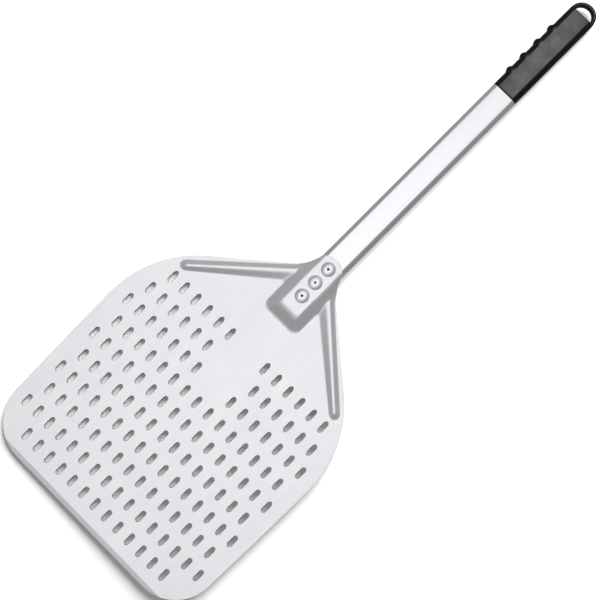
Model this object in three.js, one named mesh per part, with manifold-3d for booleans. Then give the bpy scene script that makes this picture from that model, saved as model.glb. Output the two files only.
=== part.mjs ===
// A perforated pizza peel: a pressed aluminium blade riveted on top of a
// rectangular aluminium tube handle, with a moulded grip and hanging loop.
//
// Millimetres. +Y runs from the blade's front edge to the grip's loop, +X to the
// right seen from above, +Z up. The origin is the centre of the footprint, on
// the plane that the underside of the grip rests on.

import * as THREE from "three";
import { mergeVertices } from "three/addons/utils/BufferGeometryUtils.js";
import Module from "manifold-3d";

const wasm = await Module();
wasm.setup();

// ---------------------------------------------------------------- dimensions

const GAP = 0.3; // between pieces that touch

// Blade sheet and its outline.
const SHEET = 1.5;
const BLADE_FRONT_Y = -393;
const BLADE_HALF_WIDTH = 152.5;
const FRONT_HALF_WIDTH = 149.5;
const FRONT_CORNER_R = 52;
const SHOULDER_R = 132;
const SHOULDER_CENTRE_Y = -193.3;
const SHOULDER_ANGLE = THREE.MathUtils.degToRad(50);
const SIDE_PULL = [152.5, -245]; // control point of the side, which narrows forwards
const NECK_JOIN = [37.5, -35.3]; // neck curve meets the straight shoulder
const NECK_PULL = [22.5, -24.5]; // control point of the neck curve
const TONGUE_SIDE = [16.1, -5.2]; // neck curve starts here
const TONGUE_CORNER = [16.1, -1.2]; // control point between the tip and the side
const TONGUE_TIP_Y = 3.5;
const TONGUE_TIP_R = 21.3;
const TONGUE_TIP_HALF_WIDTH = 14.6;

// Ground lip along the front edge.
const LIP_WIDTH = 5.4;
const LIP_DROP = 1.1;

// Perforation: rows of slots that lie along Y. Columns are counted in pitches
// from the centre line, and each row is symmetrical about it. The first rows
// leave their middle out, in front of the boss.
const SLOT_WIDTH = 5.1;
const SLOT_LENGTH = 14.8;
const SLOT_PITCH_X = 17.75;
const ROW_PITCH_Y = 25.93;
const FIRST_ROW_Y = -134;
const ROWS = [
  { fromColumn: 1.5, toColumn: 6.5 },
  { fromColumn: 2, toColumn: 7 },
  { fromColumn: 1.5, toColumn: 7.5 },
  { fromColumn: 0, toColumn: 7 },
  { fromColumn: 0.5, toColumn: 7.5 },
  { fromColumn: 0, toColumn: 7 },
  { fromColumn: 0.5, toColumn: 7.5 },
  { fromColumn: 0, toColumn: 7 },
  { fromColumn: 0.5, toColumn: 7.5 },
  { fromColumn: 0, toColumn: 6 },
];

// Boss pressed up over the tube, open to the rear.
const BOSS_HEIGHT = 10.5;
const BOSS_TOP = { halfWidth: 11.2, frontY: -67.3, cornerR: 4 };
const BOSS_FOOT = { halfWidth: 25.4, frontY: -88, cornerR: 9 };
const BOSS_REAR_Y = 12; // past the tongue's tip
// Shares of a pressed wall's width that its top and its foot round off.
const BOSS_BLENDS = { top: 0.48, foot: 0.26 };
const BEAD_BLENDS = { top: 0.34, foot: 0.26 };

// Stiffening beads from the boss out to the shoulders.
const BEAD_HEIGHT = 3.6;
const BEAD_START = [14.5, -27.2];
const BEAD_END = [111.9, -115.6];
const BEAD_CREST_R = 0.6;
const BEAD_OUTER = 6.5; // from the crest line to the outer foot
const BEAD_INNER_NEAR = 14; // to the inner foot beside the boss
const BEAD_INNER_FAR = 6.4; // and at the bead's end
const BEAD_CREST_SHIFT = 1.6; // the crest leans to the outer side
const BEAD_RUN_OUT = 2.3; // how far the foot passes the crest at the bead's end

// Handle tube: rounded rectangle, wall 1.3.
const TUBE_WIDTH = 31.5;
const TUBE_HEIGHT = 17;
const TUBE_WALL = 1.3;
const TUBE_CORNER_R = 5.4;
const TUBE_FRONT_Y = -65;
const TUBE_REAR_Y = 259.7;

// Grip, with finger ridges on the -X side and a hanging loop.
const GRIP_WIDTH = 31.8;
const GRIP_HEIGHT = 17.4;
const GRIP_CORNER_R = 6.4;
const GRIP_FRONT_Y = 260;
const GRIP_REAR_Y = 378.9;
const GRIP_EDGE = 0.5;
const SPIGOT_LENGTH = 38;
const SPIGOT_WALL = 2.4;
const LOOP_CENTRE_Y = 378.7;
const LOOP_R = 13.5;
const LOOP_BAR = 4.6;
const LOOP_THICKNESS = 10;
const LOOP_EDGE_R = 2.2;
const LOOP_LEG = 4; // straight ends, sunk in the grip
const RIDGE_Y = 283.1;
const RIDGE_PITCH = 21.1;
const RIDGE_COUNT = 4;
const RIDGE_HALF_LENGTH = 4.2;
const RIDGE_RISE = 2.5;
const RIDGE_ROOT = 0.25; // how deep a ridge is rooted in the grip's skin
const RIDGE_FULLNESS = 0.8; // 1 is a plain cosine swell, less is fuller

// Blind rivets with a large flange, and what is left of their mandrels.
const RIVET_Y = [-9.9, -29.9, -49.9];
const RIVET_HOLE_R = 2.8;
const RIVET_FLANGE_R = 7.95;
const RIVET_DOME = 2.1;
const RIVET_RIM = 0.6;
const RIVET_SHANK_R = 2.4;
const RIVET_BORE_R = 1.7;
const RIVET_BULB_R = 3.8;
const RIVET_BULB_LENGTH = 5;
const MANDREL_R = 1.4;
const MANDREL_HEAD_R = 2.3;
const MANDREL_HEAD_LENGTH = 2.2;
const MANDREL_SUNK = [4.2, 0.5, 4.2]; // stub below the dome, rivet by rivet

// Facets.
const OUTLINE_STEPS = 8; // per curve, twice as many per arc
const SLOT_STEPS = 2;
const BOSS_STEPS = 3;
const BOSS_LEVELS = 7;
const BEAD_STEPS = 5;
const BEAD_LEVELS = 6;
const SECTION_STEPS = 6;
const LOOP_STEPS = 20;
const TURNED_STEPS = 24;

// Margin by which a cutter or a blank passes what it cuts.
const MARGIN = 20;

// ------------------------------------------------------------- levels along Z

const GRIP_MID_Z = GRIP_HEIGHT / 2;
const TUBE_TOP_Z = GRIP_MID_Z + TUBE_HEIGHT / 2;
const BOSS_TOP_Z = TUBE_TOP_Z + GAP + SHEET;
const BLADE_TOP_Z = BOSS_TOP_Z - BOSS_HEIGHT;
const BLADE_BOTTOM_Z = BLADE_TOP_Z - SHEET;

// ------------------------------------------------------------------ materials

const aluminium = (color, roughness) =>
  new THREE.MeshStandardMaterial({ color, roughness, metalness: 1 });
const bladeMaterial = aluminium(0xd9dbe0, 0.45);
const tubeMaterial = aluminium(0xe3e4e6, 0.3);
const rivetMaterial = aluminium(0xd8dadf, 0.35);
const mandrelMaterial = aluminium(0x6f7276, 0.5);
const gripMaterial = new THREE.MeshStandardMaterial({
  color: 0x1b1c1f,
  roughness: 0.55,
  metalness: 0,
});

// -------------------------------------------------------------- solid helpers

function solidOf(geometry) {
  const bare = geometry.clone();
  bare.deleteAttribute("normal");
  bare.deleteAttribute("uv");
  const merged = mergeVertices(bare, 1e-4);
  return new wasm.Manifold(
    new wasm.Mesh({
      numProp: 3,
      vertProperties: merged.attributes.position.array,
      triVerts: new Uint32Array(merged.index.array),
    }),
  );
}

function geometryOf(solid) {
  const mesh = solid.getMesh();
  const geometry = new THREE.BufferGeometry();
  const positions = new THREE.BufferAttribute(mesh.vertProperties, mesh.numProp);
  geometry.setAttribute("position", positions);
  geometry.setIndex(new THREE.BufferAttribute(mesh.triVerts, 1));
  geometry.computeVertexNormals();
  return geometry;
}

const unite = (solids) => solids.reduce((whole, piece) => whole.add(piece));

// A closed solid through rings of equal length. In the two coordinates that
// across gives of a point, the rings run counter-clockwise seen from the last.
function loft(rings, across) {
  const count = rings[0].length;
  const index = [];
  for (let k = 0; k + 1 < rings.length; k++) {
    for (let i = 0; i < count; i++) {
      const next = (i + 1) % count;
      const [a, b] = [k * count + i, k * count + next];
      index.push(a, b, b + count, a, b + count, a + count);
    }
  }
  const last = (rings.length - 1) * count;
  const flat = rings[0].map((p) => new THREE.Vector2(...across(p)));
  for (const [a, b, c] of THREE.ShapeUtils.triangulateShape(flat, [])) {
    index.push(a, c, b);
    index.push(last + a, last + b, last + c);
  }
  const geometry = new THREE.BufferGeometry().setFromPoints(rings.flat());
  geometry.setIndex(index);
  return solidOf(geometry);
}

// Extrudes a shape drawn in X and Z along Y, from y0 to y1.
function extrudeAlongY(shape, y0, y1, options = {}) {
  const edge = options.bevelThickness ?? 0;
  const geometry = new THREE.ExtrudeGeometry(shape, {
    depth: y1 - y0 - 2 * edge,
    bevelEnabled: edge > 0,
    curveSegments: SECTION_STEPS,
    ...options,
  });
  return geometry.rotateX(Math.PI / 2).translate(0, y1 - edge, 0);
}

function roundedRectangle(path, width, height, radius, centreY) {
  const [x, y] = [width / 2, height / 2];
  path.moveTo(x, centreY - y + radius);
  path.absarc(x - radius, centreY + y - radius, radius, 0, Math.PI / 2);
  path.absarc(-x + radius, centreY + y - radius, radius, Math.PI / 2, Math.PI);
  path.absarc(-x + radius, centreY - y + radius, radius, Math.PI, Math.PI * 1.5);
  path.absarc(x - radius, centreY - y + radius, radius, Math.PI * 1.5, Math.PI * 2);
  return path;
}

// ---------------------------------------------------------------- blade sheet

// Right half of the outline, drawn from the tongue's tip to the front edge.
function drawRightSide(shape) {
  const shoulderX = BLADE_HALF_WIDTH - SHOULDER_R;
  const frontX = FRONT_HALF_WIDTH - FRONT_CORNER_R;
  const cornerY = BLADE_FRONT_Y + FRONT_CORNER_R;
  shape.quadraticCurveTo(...TONGUE_CORNER, ...TONGUE_SIDE);
  shape.quadraticCurveTo(...NECK_PULL, ...NECK_JOIN);
  shape.absarc(shoulderX, SHOULDER_CENTRE_Y, SHOULDER_R, SHOULDER_ANGLE, 0, true);
  shape.quadraticCurveTo(...SIDE_PULL, FRONT_HALF_WIDTH, cornerY);
  shape.absarc(frontX, cornerY, FRONT_CORNER_R, 0, -Math.PI / 2, true);
}

function bladeOutline() {
  const reach = Math.asin(TONGUE_TIP_HALF_WIDTH / TONGUE_TIP_R);
  const tip = new THREE.Shape();
  const tipCentreY = TONGUE_TIP_Y - TONGUE_TIP_R;
  tip.absarc(0, tipCentreY, TONGUE_TIP_R, Math.PI / 2, Math.PI / 2 - reach, true);
  drawRightSide(tip);
  const right = tip.getPoints(OUTLINE_STEPS);
  const left = right.slice(1).reverse().map((p) => new THREE.Vector2(-p.x, p.y));
  return new THREE.Shape([...right, ...left]);
}

function slotPath(x, y) {
  const r = SLOT_WIDTH / 2;
  const straight = SLOT_LENGTH / 2 - r;
  const path = new THREE.Path();
  path.absarc(x, y + straight, r, 0, Math.PI);
  path.absarc(x, y - straight, r, Math.PI, Math.PI * 2);
  return new THREE.Path(path.getPoints(SLOT_STEPS));
}

function slotCentres() {
  return ROWS.flatMap(({ fromColumn, toColumn }, row) => {
    const y = FIRST_ROW_Y - row * ROW_PITCH_Y;
    const centres = [];
    for (let column = fromColumn; column <= toColumn; column++) {
      centres.push([column * SLOT_PITCH_X, y]);
      if (column > 0) centres.push([-column * SLOT_PITCH_X, y]);
    }
    return centres;
  });
}

// Share of a pressed wall's drop at a share of its width: two blends, with a
// straight slope between them.
function wallDrop(share, { top, foot }) {
  const steepest = 1 / (1 - (top + foot) / 2);
  if (share < top) return (steepest * share ** 2) / (2 * top);
  if (share > 1 - foot) return 1 - (steepest * (1 - share) ** 2) / (2 * foot);
  return steepest * (share - top / 2);
}

const lerp = THREE.MathUtils.lerp;

// Points of one level of the boss, counter-clockwise from the rear right.
function bossRing(share) {
  const halfWidth = lerp(BOSS_TOP.halfWidth, BOSS_FOOT.halfWidth, share);
  const frontY = lerp(BOSS_TOP.frontY, BOSS_FOOT.frontY, share);
  const r = lerp(BOSS_TOP.cornerR, BOSS_FOOT.cornerR, share);
  const shape = new THREE.Shape();
  shape.moveTo(halfWidth, BOSS_REAR_Y);
  shape.lineTo(-halfWidth, BOSS_REAR_Y);
  shape.absarc(-halfWidth + r, frontY + r, r, Math.PI, Math.PI * 1.5);
  shape.absarc(halfWidth - r, frontY + r, r, Math.PI * 1.5, Math.PI * 2);
  return shape.getPoints(BOSS_STEPS);
}

// Points of one level of the right-hand bead: two round ends joined by straight
// sides, of which the inner one spreads towards the boss.
function beadRing(share) {
  const start = new THREE.Vector2(...BEAD_START);
  const end = new THREE.Vector2(...BEAD_END);
  const along = end.clone().sub(start).normalize();
  const outward = new THREE.Vector2(-along.y, along.x);
  const outer = lerp(BEAD_CREST_R, BEAD_OUTER, share);
  const innerFar = lerp(BEAD_CREST_R, BEAD_INNER_FAR, share);
  const innerNear = lerp(BEAD_CREST_R, BEAD_INNER_NEAR, share);
  const middle = (inner) => BEAD_CREST_SHIFT + (outer - inner) / 2;
  const head = end.clone().addScaledVector(along, BEAD_RUN_OUT * share);
  head.addScaledVector(outward, middle(innerFar));
  const tail = start.clone().addScaledVector(outward, middle(innerNear));
  const [headR, tailR] = [(outer + innerFar) / 2, (outer + innerNear) / 2];
  const angle = along.angle();
  const quarter = Math.PI / 2;
  const shape = new THREE.Shape();
  shape.absarc(head.x, head.y, headR, angle - quarter, angle + quarter);
  shape.absarc(tail.x, tail.y, tailR, angle + quarter, angle + 3 * quarter);
  return shape.getPoints(BEAD_STEPS);
}

// A pressed form as two solids: what the sheet's top covers, and what its
// underside leaves free. The underside is the top moved down its own normals.
function pressing(ringAt, height, blends, levelCount) {
  const levels = Array.from({ length: levelCount + 1 }, (_, k) => 1 - k / levelCount);
  const top = levels.map((share) => {
    const z = BLADE_TOP_Z + height * (1 - wallDrop(share, blends));
    return ringAt(share).map((p) => new THREE.Vector3(p.x, p.y, z));
  });
  const under = top.map((ring, k) =>
    ring.map((point, i) => {
      if (k === 0 || k === levelCount) return point.clone().setZ(point.z - SHEET);
      const slope = top[k + 1][i].clone().sub(top[k - 1][i]);
      const flat = Math.hypot(slope.x, slope.y);
      const normal = new THREE.Vector3(-slope.x / flat, -slope.y / flat, 0);
      normal.multiplyScalar(slope.z).setZ(flat).normalize();
      return point.clone().addScaledVector(normal, -SHEET);
    }),
  );
  const downTo = (z, rings) => [rings[0].map((p) => p.clone().setZ(z)), ...rings];
  const across = (p) => [p.x, p.y];
  return {
    cover: loft(downTo(BLADE_TOP_Z - SHEET / 2, top), across),
    hollow: loft(downTo(BLADE_BOTTOM_Z - SHEET, under), across),
  };
}

const mirrored = (solid) => solid.mirror([1, 0, 0]);

function frontLip() {
  const slope = Math.atan2(LIP_DROP, LIP_WIDTH);
  const width = 2 * (BLADE_HALF_WIDTH + MARGIN);
  const cutter = new THREE.BoxGeometry(width, LIP_WIDTH + MARGIN, MARGIN);
  cutter.translate(0, -(LIP_WIDTH + MARGIN) / 2, MARGIN / 2);
  cutter.rotateX(slope);
  return solidOf(cutter.translate(0, BLADE_FRONT_Y + LIP_WIDTH, BLADE_TOP_Z));
}

// A drill through the rivet holes, from inside the tube upwards.
function rivetDrill() {
  const holes = RIVET_Y.map((y) => {
    const hole = new THREE.CylinderGeometry(RIVET_HOLE_R, RIVET_HOLE_R, 2 * MARGIN, 20);
    return solidOf(hole.rotateX(Math.PI / 2).translate(0, y, GRIP_MID_Z + MARGIN));
  });
  return unite(holes);
}

function makeBlade() {
  const outline = bladeOutline();
  outline.holes = slotCentres().map(([x, y]) => slotPath(x, y));
  const prism = new THREE.ExtrudeGeometry(outline, {
    depth: 2 * MARGIN,
    bevelEnabled: false,
  });
  const length = 2 * (MARGIN - BLADE_FRONT_Y);
  const slab = new THREE.BoxGeometry(length, length, SHEET);
  slab.translate(0, 0, BLADE_TOP_Z - SHEET / 2);
  const boss = pressing(bossRing, BOSS_HEIGHT, BOSS_BLENDS, BOSS_LEVELS);
  const bead = pressing(beadRing, BEAD_HEIGHT, BEAD_BLENDS, BEAD_LEVELS);
  const covers = [boss.cover, bead.cover, mirrored(bead.cover)];
  const hollows = [boss.hollow, bead.hollow, mirrored(bead.hollow)];
  const sheet = unite([solidOf(slab), ...covers]).subtract(unite(hollows));
  const cut = sheet.intersect(solidOf(prism.translate(0, 0, BLADE_TOP_Z - MARGIN)));
  return geometryOf(cut.subtract(frontLip()).subtract(rivetDrill()));
}

// ---------------------------------------------------------------- handle tube

function makeTube() {
  const section = new THREE.Shape();
  roundedRectangle(section, TUBE_WIDTH, TUBE_HEIGHT, TUBE_CORNER_R, GRIP_MID_Z);
  const bore = new THREE.Path();
  const [width, height] = [TUBE_WIDTH - 2 * TUBE_WALL, TUBE_HEIGHT - 2 * TUBE_WALL];
  roundedRectangle(bore, width, height, TUBE_CORNER_R - TUBE_WALL, GRIP_MID_Z);
  section.holes.push(bore);
  const tube = solidOf(extrudeAlongY(section, TUBE_FRONT_Y, TUBE_REAR_Y));
  return geometryOf(tube.subtract(rivetDrill()));
}

// ----------------------------------------------------------------------- grip

function gripBody() {
  const section = new THREE.Shape();
  roundedRectangle(section, GRIP_WIDTH, GRIP_HEIGHT, GRIP_CORNER_R, GRIP_MID_Z);
  const rounded = {
    bevelThickness: GRIP_EDGE,
    bevelSize: GRIP_EDGE,
    bevelOffset: -GRIP_EDGE,
    bevelSegments: 2,
  };
  return solidOf(extrudeAlongY(section, GRIP_FRONT_Y, GRIP_REAR_Y, rounded));
}

function gripSpigot() {
  const inset = 2 * (TUBE_WALL + GAP);
  const radius = TUBE_CORNER_R - TUBE_WALL - GAP;
  const [width, height] = [TUBE_WIDTH - inset, TUBE_HEIGHT - inset];
  const section = new THREE.Shape();
  roundedRectangle(section, width, height, radius, GRIP_MID_Z);
  const core = new THREE.Path();
  const walls = 2 * SPIGOT_WALL;
  roundedRectangle(core, width - walls, height - walls, radius - SPIGOT_WALL, GRIP_MID_Z);
  section.holes.push(core);
  const frontY = GRIP_FRONT_Y - SPIGOT_LENGTH;
  return solidOf(extrudeAlongY(section, frontY, GRIP_FRONT_Y + SPIGOT_WALL));
}

// The grip's -X side in section, from the top flat's edge down to the bottom
// flat's edge, as points with their outward directions.
function gripSideProfile(stepsPerCorner) {
  const straightX = GRIP_WIDTH / 2 - GRIP_CORNER_R;
  const straightZ = GRIP_HEIGHT / 2 - GRIP_CORNER_R;
  const profile = [];
  for (const half of [1, -1]) {
    for (let step = 0; step <= stepsPerCorner; step++) {
      const share = half > 0 ? 1 - step / stepsPerCorner : step / stepsPerCorner;
      const angle = (share * Math.PI) / 2;
      const [outX, outZ] = [-Math.cos(angle), half * Math.sin(angle)];
      const x = -straightX + GRIP_CORNER_R * outX;
      const z = GRIP_MID_Z + half * straightZ + GRIP_CORNER_R * outZ;
      profile.push({ x, z, outX, outZ });
    }
  }
  return profile;
}

// One finger ridge: it swells out of the grip's side, wraps its rounded edges
// and dies out at the flats.
function fingerRidge(y) {
  const profile = gripSideProfile(SECTION_STEPS);
  const stations = 8;
  const coreX = -GRIP_WIDTH / 2 + GRIP_CORNER_R + RIDGE_ROOT;
  const rings = [];
  for (let k = 0; k <= stations; k++) {
    const share = (2 * k) / stations - 1;
    const swell = Math.cos((share * Math.PI) / 2) ** RIDGE_FULLNESS;
    const stationY = y + share * RIDGE_HALF_LENGTH;
    const ring = profile.map(({ x, z, outX, outZ }) => {
      const rise = RIDGE_RISE * swell * outX ** 2 - RIDGE_ROOT;
      return new THREE.Vector3(x + rise * outX, stationY, z + rise * outZ);
    });
    for (const z of [GRIP_CORNER_R / 2, GRIP_HEIGHT - GRIP_CORNER_R / 2]) {
      ring.push(new THREE.Vector3(coreX, stationY, z));
    }
    rings.push(ring.reverse());
  }
  return loft(rings, (p) => [p.z, p.x]);
}

// Centre line of the hanging loop: a half circle in the X-Y plane with two
// straight legs, which end inside the grip.
class LoopLine extends THREE.Curve {
  getPoint(share) {
    const bend = Math.PI * LOOP_R;
    const along = share * (bend + 2 * LOOP_LEG) - LOOP_LEG;
    const angle = Math.min(Math.max(along, 0), bend) / LOOP_R;
    const leg = Math.max(-along, along - bend, 0);
    const x = LOOP_R * Math.cos(angle);
    const y = LOOP_CENTRE_Y + LOOP_R * Math.sin(angle) - leg;
    return new THREE.Vector3(x, y, GRIP_MID_Z);
  }
}

function hangingLoop() {
  const section = new THREE.Shape();
  roundedRectangle(section, LOOP_THICKNESS, LOOP_BAR, LOOP_EDGE_R, 0);
  const options = { steps: LOOP_STEPS, curveSegments: 4, extrudePath: new LoopLine() };
  return solidOf(new THREE.ExtrudeGeometry(section, options));
}

function makeGrip() {
  const ridges = Array.from({ length: RIDGE_COUNT }, (_, i) =>
    fingerRidge(RIDGE_Y + i * RIDGE_PITCH),
  );
  return geometryOf(unite([gripBody(), gripSpigot(), hangingLoop(), ...ridges]));
}

// --------------------------------------------------------------------- rivets

// A lathe turned so that its axis is Z, through (0, y).
function turned(profile, y) {
  const points = profile.map(([r, z]) => new THREE.Vector2(r, z));
  const geometry = new THREE.LatheGeometry(points, TURNED_STEPS);
  return geometry.rotateX(Math.PI / 2).translate(0, y, 0);
}

const FLANGE_Z = BOSS_TOP_Z + GAP;
const BULB_TOP_Z = TUBE_TOP_Z - TUBE_WALL - GAP;
const BULB_END_Z = BULB_TOP_Z - RIVET_BULB_LENGTH;

// The hollow rivet body: domed flange, shank, and the bulb formed when it was set.
function makeRivet(y) {
  const shoulder = RIVET_BULB_R - RIVET_SHANK_R;
  return turned(
    [
      [RIVET_BORE_R, BULB_END_Z],
      [RIVET_SHANK_R + 0.5, BULB_END_Z],
      [RIVET_BULB_R, BULB_END_Z + shoulder],
      [RIVET_BULB_R, BULB_TOP_Z - 0.8],
      [RIVET_BULB_R - 0.6, BULB_TOP_Z],
      [RIVET_SHANK_R, BULB_TOP_Z],
      [RIVET_SHANK_R, FLANGE_Z],
      [RIVET_FLANGE_R - 0.1, FLANGE_Z],
      [RIVET_FLANGE_R, FLANGE_Z + RIVET_RIM],
      [RIVET_FLANGE_R - 0.8, FLANGE_Z + RIVET_RIM + 0.55],
      [RIVET_FLANGE_R - 2, FLANGE_Z + RIVET_RIM + 1.05],
      [RIVET_FLANGE_R - 3.4, FLANGE_Z + RIVET_DOME - 0.1],
      [RIVET_BORE_R + 1.2, FLANGE_Z + RIVET_DOME],
      [RIVET_BORE_R + 0.4, FLANGE_Z + RIVET_DOME - 0.1],
      [RIVET_BORE_R, FLANGE_Z + RIVET_DOME - 0.5],
      [RIVET_BORE_R, BULB_END_Z],
    ],
    y,
  );
}

// The stub of the pulling mandrel, held by its head below the bulb.
function makeMandrel(y, sunk) {
  const headTop = BULB_END_Z - GAP;
  const headEnd = headTop - MANDREL_HEAD_LENGTH;
  const stubTop = FLANGE_Z + RIVET_DOME - sunk;
  return turned(
    [
      [0, headEnd],
      [MANDREL_HEAD_R - 0.5, headEnd],
      [MANDREL_HEAD_R, headEnd + 0.5],
      [MANDREL_HEAD_R, headTop],
      [MANDREL_R, headTop],
      [MANDREL_R, stubTop - 0.3],
      [MANDREL_R - 0.4, stubTop],
      [0, stubTop],
    ],
    y,
  );
}

// ------------------------------------------------------------------- assembly

function piece(name, geometry, material) {
  const mesh = new THREE.Mesh(geometry, material);
  mesh.name = name;
  return mesh;
}

const peel = new THREE.Group();
peel.add(piece("blade", makeBlade(), bladeMaterial));
peel.add(piece("handle_tube", makeTube(), tubeMaterial));
peel.add(piece("grip", makeGrip(), gripMaterial));
RIVET_Y.forEach((y, i) => {
  const number = i + 1;
  const mandrel = makeMandrel(y, MANDREL_SUNK[i]);
  peel.add(piece(`rivet_${number}`, makeRivet(y), rivetMaterial));
  peel.add(piece(`rivet_mandrel_${number}`, mandrel, mandrelMaterial));
});

export default peel;
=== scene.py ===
"""Looks of the perforated pizza peel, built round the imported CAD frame.

Lengths in this script are millimetres in the CAD's own frame (+Y from the
blade's front edge to the hanging loop, +Z up), and become metres when a mesh
is made.
"""

import math
import random

import bmesh
import bpy
import numpy as np
from mathutils import Matrix, Vector
from mathutils.geometry import delaunay_2d_cdt


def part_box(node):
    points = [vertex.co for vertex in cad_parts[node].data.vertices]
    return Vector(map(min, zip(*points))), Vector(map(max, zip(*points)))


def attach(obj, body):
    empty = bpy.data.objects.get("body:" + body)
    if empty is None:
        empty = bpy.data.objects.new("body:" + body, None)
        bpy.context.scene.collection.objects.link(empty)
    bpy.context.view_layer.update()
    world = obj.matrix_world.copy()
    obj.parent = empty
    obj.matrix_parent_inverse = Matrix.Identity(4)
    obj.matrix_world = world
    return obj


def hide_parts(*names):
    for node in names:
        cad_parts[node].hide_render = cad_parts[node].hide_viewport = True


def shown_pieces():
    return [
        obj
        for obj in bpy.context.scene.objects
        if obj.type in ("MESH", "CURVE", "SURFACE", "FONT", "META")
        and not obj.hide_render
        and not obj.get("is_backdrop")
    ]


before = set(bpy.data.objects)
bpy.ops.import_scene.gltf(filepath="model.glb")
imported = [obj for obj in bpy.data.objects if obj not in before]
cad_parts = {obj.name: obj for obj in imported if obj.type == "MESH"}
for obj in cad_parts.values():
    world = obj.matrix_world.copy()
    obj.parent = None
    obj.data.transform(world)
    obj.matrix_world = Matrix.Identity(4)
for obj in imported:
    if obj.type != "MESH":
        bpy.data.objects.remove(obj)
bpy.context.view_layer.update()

MM = 0.001
TAU = 2 * math.pi

# ------------------------------------------------------------ blade dimensions

SHEET = 1.5
BLADE_FRONT_Y = -393.0
BLADE_HALF_WIDTH = 152.5
FRONT_HALF_WIDTH = 149.5
FRONT_CORNER_R = 52.0
SHOULDER_R = 132.0
SHOULDER_CENTRE_Y = -193.3
SHOULDER_ANGLE = math.radians(50)
SIDE_PULL = (152.5, -245.0)
NECK_JOIN = (37.5, -35.3)
NECK_PULL = (22.5, -24.5)
TONGUE_SIDE = (16.1, -5.2)
TONGUE_CORNER = (16.1, -1.2)
TONGUE_TIP_Y = 3.5
TONGUE_TIP_R = 21.3
TONGUE_TIP_HALF_WIDTH = 14.6

LIP_WIDTH = 5.4
LIP_DROP = 1.1
LIP_BEND = 0.4

SLOT_WIDTH = 5.1
SLOT_LENGTH = 14.8
SLOT_PITCH_X = 17.75
ROW_PITCH_Y = 25.93
FIRST_ROW_Y = -134.0
# First and last column of each row, in pitches from the centre line.
ROWS = ((1.5, 6.5), (2, 7), (1.5, 7.5), (0, 7), (0.5, 7.5),
        (0, 7), (0.5, 7.5), (0, 7), (0.5, 7.5), (0, 6))

BOSS_HEIGHT = 10.5
BOSS_TOP = (11.2, -67.3, 4.0)  # half width, front Y, corner radius
BOSS_FOOT = (25.4, -88.0, 9.0)
BOSS_BLENDS = (0.48, 0.26)  # shares of a wall's width that its top and foot round off
BEAD_BLENDS = (0.34, 0.26)
BEAD_HEIGHT = 3.6
BEAD_START = (14.5, -27.2)
BEAD_END = (111.9, -115.6)
BEAD_CREST_R = 0.6
BEAD_CREST_SHIFT = 1.6
BEAD_OUTER = 6.5  # from the crest line to the outer foot
BEAD_INNER_NEAR = 14.0  # to the inner foot beside the boss
BEAD_INNER_FAR = 6.4  # and at the bead's end
BEAD_END_R = 8.8  # from the crest's end to the foot past it
CORNER_FILL = 4.0  # plan radius where a bead's foot meets the boss's foot
CREASE_FILL = 3.4  # height over which boss and bead flow together
LEAST_SHARE, MOST_SHARE, HALVINGS = -0.5, 4.0, 24  # search for a point's share of the boss's wall

EDGE_R = 0.35  # broken edge of the sheet
EDGE_STEPS = 3
OUTLINE_STEP = 1.6  # mesh spacing along the outline
RELIEF_STEP = 1.0  # and on the boss and the beads
RELIEF_MARGIN = 1.5  # how far that fine mesh reaches past a pressed foot
RELIEF_HALF_WIDTH, RELIEF_FRONT_Y, RELIEF_REAR_Y = 132.0, -132.0, 6.0
LIP_STEP = 2.5  # mesh spacing along the lip's bend

# ----------------------------------------------- handle, grip, rivet dimensions

TUBE_WIDTH, TUBE_HEIGHT = 31.5, 17.0
TUBE_WALL = 1.3
TUBE_CORNER_R = 5.4
TUBE_EDGE = 0.25  # bevel round its sawn ends

GRIP_WIDTH, GRIP_HEIGHT = 31.8, 17.4
GRIP_CORNER_R = 6.4
GRIP_FRONT_Y, GRIP_REAR_Y = 260.0, 378.9
GRIP_END_ROUND = 1.2
GRIP_END_STEPS = 6
SPIGOT_LENGTH = 38.0
SPIGOT_WALL = 2.4
SPIGOT_BEVEL = 0.4
LOOP_CENTRE_Y = 378.7
LOOP_R = 13.5
LOOP_BAR, LOOP_THICKNESS = 4.6, 10.0
LOOP_EDGE_R = 2.2
LOOP_LEG = 4.0  # straight ends, sunk in the grip
RIDGE_Y, RIDGE_PITCH, RIDGE_COUNT = 283.1, 21.1, 4
RIDGE_HALF_LENGTH = 4.2
RIDGE_RISE = 2.5
RIDGE_FULLNESS = 0.8
RIDGE_STEPS = 12

RIVET_Y = (-9.9, -29.9, -49.9)
RIVET_HOLE_R = 2.8
RIVET_FLANGE_R = 7.95
RIVET_DOME = 2.1
RIVET_DOME_POWER = 2.6  # 2 is a plain cap, more is flatter with a steeper rim
RIVET_SHANK_R = 2.4
RIVET_BORE_R = 1.7
RIVET_LIP_R = 1.45
RIVET_BULB_R = 3.8
RIVET_BULB_LENGTH = 5.0
MANDREL_R = 1.4
MANDREL_HEAD_R = 2.3
MANDREL_HEAD_LENGTH = 2.2
MANDREL_SUNK = (4.2, 0.5, 4.2)

GAP = 0.3
GRIP_MID_Z = GRIP_HEIGHT / 2
TUBE_TOP_Z = GRIP_MID_Z + TUBE_HEIGHT / 2
BOSS_TOP_Z = TUBE_TOP_Z + GAP + SHEET
BLADE_TOP_Z = BOSS_TOP_Z - BOSS_HEIGHT
FLANGE_Z = BOSS_TOP_Z + GAP
BULB_TOP_Z = TUBE_TOP_Z - TUBE_WALL - GAP
BULB_END_Z = BULB_TOP_Z - RIVET_BULB_LENGTH
DRILL_TOP_Z = BOSS_TOP_Z + 9

# ------------------------------------------------- camera, floor and light values

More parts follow.
